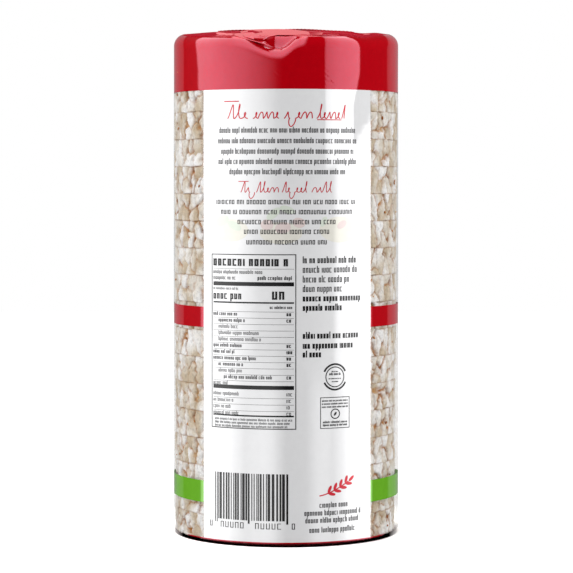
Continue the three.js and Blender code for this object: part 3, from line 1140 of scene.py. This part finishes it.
def seals(ink):
    """Two plain seals: a ring with a row of blocks, and a card with a ring and a leaf."""
    u, z = 20.3, 68.5
    ink.ring(u, z, 4.0, 0.42)
    for start in (25, 205):
        ink.ring(u, z, 5.15, 0.75, steps=26, start=start, sweep=130)
    for rise, half, height in ((1.9, 1.6, 0.45), (0.7, 2.6, 0.8), (-0.9, 2.9, 0.45), (-2.1, 1.5, 0.4)):
        ink.greek(u - half, u + half, z + rise, height, stroke=0.22, centred=True)
    left, right, low, high = 13.9, 27.0, 47.7, 60.4
    ink.outline(left, right, low, high, 0.3)
    for row in range(3):
        ink.greek(left + 0.7, right - 0.7, high - 1.8 - 1.25 * row, 0.6, centred=True)
    ink.ring(20.4, 53.6, 1.9, 0.42)
    ink.oval(20.4, 53.6, 0.9, 0.45, 55)
    for row in range(2):
        ink.greek(left + 1.0, right - 1.0, 49.9 - 1.2 * row, 0.7, stroke=0.22, centred=True)


def bar_pattern(ink):
    """Upright bars of random widths over a row of small blocks, in place of a code."""
    left, right, low, high = -30.8, 1.0, 10.6, 29.6
    guards = (left, -15.6, right - 2.0)
    module = 0.335
    u = left
    while u < right:
        width = module * ink.rng.choice([1.2, 1.3, 2.2, 2.3, 3.3])
        guard = any(g <= u < g + 1.5 for g in guards)
        ink.bar(u, min(u + width, right), low - (1.3 if guard else 0), high)
        u += width + module * ink.rng.choice([0.8, 0.9, 1.7, 2.2])
    blocks = [(start + 2.25 * i, 1.5) for start in (-27.9, -12.5) for i in range(5)]
    for place, width in (*blocks, (-33.4, 1.3), (2.3, 1.3)):
        ink.letter(ink.rng.choice(UPPER_CASE[:4]), place, 7.3, 2.4, width, 0.34)


def grain_ear(ink, u, z, size, weight):
    """An ear of rice: pairs of plump grains on a bent stem."""

    def on_stem(t):
        return u + size * (1.5 * t - 0.75), z + size * 0.62 * t**1.4

    def grain(at_u, at_z, turn):
        ink.oval(at_u, at_z, 0.19 * size, 0.075 * size, turn, steps=10)

    ink.ribbon([on_stem(t) for t in np.linspace(0, 1, 24)], 0.045 * size * weight)
    for i in range(4):
        t = 0.28 + 0.2 * i
        at_u, at_z = on_stem(t)
        for side in (-38, 38):
            turn = 22 + 16 * t + side
            angle = math.radians(turn)
            grain(at_u + 0.21 * size * math.cos(angle), at_z + 0.21 * size * math.sin(angle), turn)
    grain(u + 0.92 * size, z + 0.74 * size, 40)


def topping_marks():
    """Pale rounds behind the list of toppings: place, half width, half height and turn."""
    cream = ((-23.5, 127.5, 8.2, 4.6), (-2.0, 126.5, 8.6, 4.4), (22.6, 127.8, 9.0, 5.2))
    leaf = (
        (-27.0, 131.4, 3.2, 2.0, 20),
        (-21.5, 129.4, 3.4, 1.6, -25),
        (-5.0, 134.2, 3.4, 1.6, 40),
        (0.6, 135.8, 3.2, 1.4, -20),
        (15.4, 131.0, 2.2, 1.2, 60),
    )
    rose = (
        (-7.6, 129.8, 2.6, 2.2, 0),
        (-1.2, 128.6, 3.2, 2.2, 10),
        (5.2, 130.6, 2.6, 2.0, -15),
        (23.4, 129.8, 2.4, 1.4, 30),
    )
    inks = (
        (Ink("print_cream", cream_ink, 0.02), cream),
        (Ink("print_leaf", leaf_ink, 0.03), leaf),
        (Ink("print_rose", rose_ink, 0.03), rose),
    )
    for ink, ovals in inks:
        for oval in ovals:
            ink.oval(*oval)
        ink.piece()


def front_print():
    """The plain generic print of the far panel: an ear of rice, a bar and a few lines."""
    middle = 180.65
    black = Ink("front_print_black", black_ink, around=middle, seed=21)
    red = Ink("front_print_red", red_ink, around=middle)
    green = Ink("front_print_green", green_film, around=middle)
    grain_ear(red, -2.0, 132.0, 24.0, 1.0)
    green.bar(-24.0, 24.0, 118.0, 120.4)
    red.scribble(((-26.0, -9.0, "tlern"), (-5.0, 8.0, "grne"), (12.0, 26.0, "lerne")), 101.0, 4.4, 0.7)
    for row in range(3):
        half = 24.0 - 3 * row
        black.greek(-half, half, 78.0 - 5.4 * row, 2.1, centred=True)
    for i in range(5):
        red.oval(-20.0 + 10.0 * i, 50.0, 3.6, 3.6)
    black.greek(-14.0, 14.0, 10.0, 2.0, centred=True)
    for ink in (black, red, green):
        ink.piece()


# ---------------------------------------------------------------- build

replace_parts(crown(), "film_pack")
corner_fold()
top_fin()
base()
base_fin()
wall_piece("panel_back", (LABEL_FROM, LABEL_TO), (HEM, CROWN_FOOT), white_film)
wall_piece("panel_front", (180 + LABEL_FROM, 180 + LABEL_TO), (HEM, CROWN_FOOT), white_film)
windows()
foot_turns()
back_print()
front_print()
cakes()
seeds()

# ---------------------------------------------------------------- camera, floor and light

CAMERA_PLACE = (0.0002, -0.9422, 0.1464)  # metres
CAMERA_DOWN = 2.64  # degrees
CAMERA_LENS, CAMERA_SENSOR = 140.7, 36.0

LAMP_DISTANCE, LAMP_HEIGHT, LAMP_AIM = 1.3, 0.55, 0.1  # metres
LAMP_SIZE = (0.5, 0.9)

# The light round the pack, as it shows in a wall seen from -Y: pairs of the wall's bearing
# and the level of what it reflects there. One row for the light above the horizon, one
# for just below it and one for the floor in front.
LEFT_BACK = (
    (-90, 0.25), (-86, 0.4), (-82, 0.31), (-65, 0.27), (-64, 0.04), (-52, 0.10), (-48.6, 0.13),
    (-47.4, 2.4),
)
RIGHT_BACK = ((48, 3.1), (49, 0.05), (63, 0.03), (64.5, 0.33), (82, 0.36), (86, 0.4), (90, 0.2))
UPPER = (
    *LEFT_BACK,
    (-39, 2.6), (-33, 2.45), (-27, 2.05), (-20, 1.55), (-14, 1.1), (-9, 0.65), (-4.5, 0.1), (-2, 0.0),
    (19.7, 0.0), (20.6, 1.5), (22.5, 1.8), (26, 2.4), (35.8, 3.0), (36.6, 0.03), (62.5, 0.02),
    (63.8, 0.28), (68, 0.38), (82, 0.36), (86, 0.4), (90, 0.2),
)
MIDDLE = (
    *LEFT_BACK,
    (-39, 2.7), (-30, 2.3), (-24, 1.6), (-18, 1.0), (-14, 0.55), (-6, 0.35), (0, 0.12), (3, 0.0),
    (16, 0.1), (24, 0.25), (27, 1.9), (33, 2.6),
    *RIGHT_BACK,
)
LOWER = (
    *LEFT_BACK,
    (-39, 2.7), (-31, 2.4), (-27, 1.7), (-21, 1.0), (-17, 1.2), (-11, 1.5), (-7, 1.3), (-3, 0.5),
    (0, 0.0), (10, 0.05), (16, 0.9), (21, 0.9), (24, 0.6), (29, 1.4), (35, 2.8),
    *RIGHT_BACK,
)
PEAK = 4.0  # the level that a ramp's white stands for
FRONT_LEVEL = 2.4
AMBIENT = 1.0  # what lights the surfaces from all round
# The ceiling's colour by the tilt of the film that reflects it, the fields of (lowest tilt,
# highest tilt, leftmost bearing, rightmost bearing) in which it shows, and the red that the
# folds throw on each other everywhere else.
CEILING = (
    (57, (3.2, 1.9, 1.9)),
    (65, (2.7, 1.5, 1.5)),
    (72, (1.9, 0.9, 0.9)),
    (78, (1.2, 0.5, 0.5)),
    (82, (0.95, 0.37, 0.37)),
    (85.5, (0.85, 0.28, 0.28)),
)
CEILING_FIELDS = (
    (57, 79, -24, 10),
    (66, 79, 8, 20),
    (74, 79.5, -50, -36),
    (76.5, 82, -38, 27),
    (81, 86.2, -38, 16),
)
FOLD_SHADE = (0.25, 0.0, 0.012)


def camera():
    """The photo's view: level with the upper pack, tilted a little down."""
    data = bpy.data.cameras.new("camera")
    data.sensor_width = CAMERA_SENSOR
    data.lens = CAMERA_LENS
    camera = bpy.data.objects.new("camera", data)
    camera.location = CAMERA_PLACE
    camera.rotation_euler = (math.radians(90 - CAMERA_DOWN), 0.0, 0.0)
    bpy.context.scene.collection.objects.link(camera)
    bpy.context.scene.camera = camera


def floor_material():
    """White in the camera's sight, with a painted shadow round the pack's foot and painted dark under it.
    To all other rays the floor is grey."""
    shader = Shader(bpy.data.materials.new("floor"))
    sight = shader.node("LightPath").outputs["Is Camera Ray"]
    place = shader.node("NewGeometry").outputs["Position"]
    x, y = shader.node("SeparateXYZ", {0: place}).outputs[:2]

    def away(x, y):
        return shader.math("SQRT", shader.math("MULTIPLY_ADD", x, x, shader.times(y, y)))

    def over(value, near, far, low=0.0, high=1.0):
        """From the low to the high level between two distances in millimetres."""
        return shader.between(value, near * MM, far * MM, low, high)

    distance = away(x, y)
    beside = away(shader.math("SUBTRACT", x, 2.0 * MM), y)
    # Near the pack the floor is painted brighter so that it stays white in the camera's sight; the shadow
    # round the foot and the dark under the pack are painted by the distance from the pack.
    shadow = over(beside, RADIUS - 0.5, RADIUS + 5.0, 0.5, 1.0)
    bright = shader.times(over(distance, RADIUS, 90.0, 2.4, 1.1), shadow)
    level = shader.mix(sight, grey(0.5), bright)
    dark = shader.times(over(shader.math("ABSOLUTE", x), RADIUS - 4.0, RADIUS + 1.0), sight)
    level = shader.mix(over(distance, RADIUS - 0.4, RADIUS + 0.8), dark, level)
    return shader.finish(shader.node("BsdfDiffuse", {"Color": level}).outputs[0])


def floor():
    """A wide plain floor."""
    half = 1.6
    mesh = bpy.data.meshes.new("floor")
    corners = [(-half, -half, 0), (half, -half, 0), (half, half, 0), (-half, half, 0)]
    mesh.from_pydata(corners, [], [(0, 1, 2, 3)])
    mesh.materials.append(floor_material())
    floor = bpy.data.objects.new("floor", mesh)
    floor.visible_glossy = False
    bpy.context.scene.collection.objects.link(floor)


def studio():
    """Studio light from all round: a big box at the left, a strip at the right, a pale back.

    The light in a direction is chosen by the bearing and the tilt of a surface that reflects
    that direction towards -Y, which is where the photo was taken from.
    """
    world = bpy.data.worlds.new("studio")
    bpy.context.scene.world = world
    shader = Shader(world, "OutputWorld")
    between, times = shader.between, shader.times

    def degrees(operation, *values):
        return times(shader.math(operation, *values), 180 / math.pi)

    def band(place, levels):
        """Light round the horizon from (bearing, level) pairs."""
        around = shader.math("MULTIPLY_ADD", place, 1 / 180, 0.5)
        return shader.ramp(around, [((at + 90) / 180, level / PEAK) for at, level in levels])

    direction = shader.node("TexCoord").outputs["Generated"]
    x, y, z = shader.node("SeparateXYZ", {0: direction}).outputs[:3]
    towards = shader.math("SUBTRACT", 1.0, y)
    flat = shader.math("SQRT", shader.math("MULTIPLY_ADD", towards, towards, times(x, x)))
    bearing = degrees("ARCTAN2", x, towards)
    tilt = degrees("ARCTAN2", z, flat)
    height = degrees("ARCSINE", z)
    beside = shader.math("ABSOLUTE", bearing)

    # The boxes' outer edges lean: both move outwards just over the horizon, and inwards again
    # towards the shoulder.
    rise = times(between(height, 2.25, 3.2), -4.0)
    lean = shader.math("MULTIPLY_ADD", shader.math("POWER", between(tilt, 34.0, 60.0), 2.0), 5.0, rise)
    outer_edge = times(between(beside, 22.0, 34.0), between(beside, 62.0, 52.0))
    lean = times(lean, shader.math("SIGN", bearing), outer_edge)
    place = shader.math("ADD", bearing, lean)

    brink = shader.math("MULTIPLY_ADD", bearing, 0.05, -0.7)
    above = between(shader.math("SUBTRACT", height, brink), 0.0, 0.3)
    light = shader.mix(above, band(bearing, MIDDLE), band(place, UPPER))
    light = shader.mix(between(height, -4.0, -5.5), light, band(bearing, LOWER))

    # Higher up the left box reaches over the front.
    over_front = times(between(bearing, -40.0, -20.0), between(bearing, 9.0, 4.0))
    over_front = times(over_front, between(tilt, 10.0, 26.0))
    light = shader.mix(over_front, light, grey(FRONT_LEVEL / PEAK))

    # The boxes end overhead. The pale ceiling between them shows in the film's level folds.
    stops = [(at / 90, [level / PEAK for level in colour]) for at, colour in CEILING]
    ceiling = shader.ramp(times(tilt, 1 / 90), stops)
    inside = 0.0
    for low, high, left, right in CEILING_FIELDS:
        upright = times(between(tilt, low - 0.5, low + 0.5), between(tilt, high + 0.5, high - 0.5))
        across = times(between(bearing, left - 2, left + 2), between(bearing, right + 2, right - 2))
        inside = shader.math("MAXIMUM", inside, times(upright, across))
    ceiling = shader.mix(inside, (*(level / PEAK for level in FOLD_SHADE), 1.0), ceiling)
    ends_at = between(bearing, -5.0, 10.0, 57.0, 69.0)
    ends = between(shader.math("SUBTRACT", tilt, ends_at), 0.0, 2.0)
    sides = times(between(beside, 58.0, 66.0), between(tilt, 66.0, 62.0))
    ends = times(ends, shader.math("SUBTRACT", 1.0, sides))
    light = shader.mix(ends, light, ceiling)
    light = shader.mix(between(tilt, -40.0, -55.0), light, grey(0.0))

    scaled = shader.node("VectorMath", {0: light, "Scale": PEAK}, operation="SCALE")
    path = shader.node("LightPath").outputs
    seen = shader.mix(path["Is Glossy Ray"], grey(AMBIENT), scaled.outputs[0])
    seen = shader.mix(path["Is Camera Ray"], seen, grey(1.0))
    shader.finish(shader.node("Background", {"Color": seen, "Strength": 1.0}).outputs[0])


def side_light(name, azimuth, strength):
    """A soft lamp that lights the surfaces without showing in the film's gloss."""
    data = bpy.data.lights.new(name, "AREA")
    data.shape = "RECTANGLE"
    data.size, data.size_y = LAMP_SIZE
    data.energy = strength
    lamp = bpy.data.objects.new(name, data)
    place = Vector((*(LAMP_DISTANCE * on_pack(1.0, azimuth, 0.0)[:2]), LAMP_HEIGHT))
    lamp.location = place
    lamp.rotation_euler = (Vector((0.0, 0.0, LAMP_AIM)) - place).to_track_quat("-Z", "Y").to_euler()
    lamp.visible_glossy = False
    bpy.context.scene.collection.objects.link(lamp)


camera()
floor()
studio()
side_light("side_lamp_left", -85.0, 8.2)
side_light("side_lamp_right", 85.0, 6.8)
bpy.context.scene.view_settings.view_transform = "Standard"
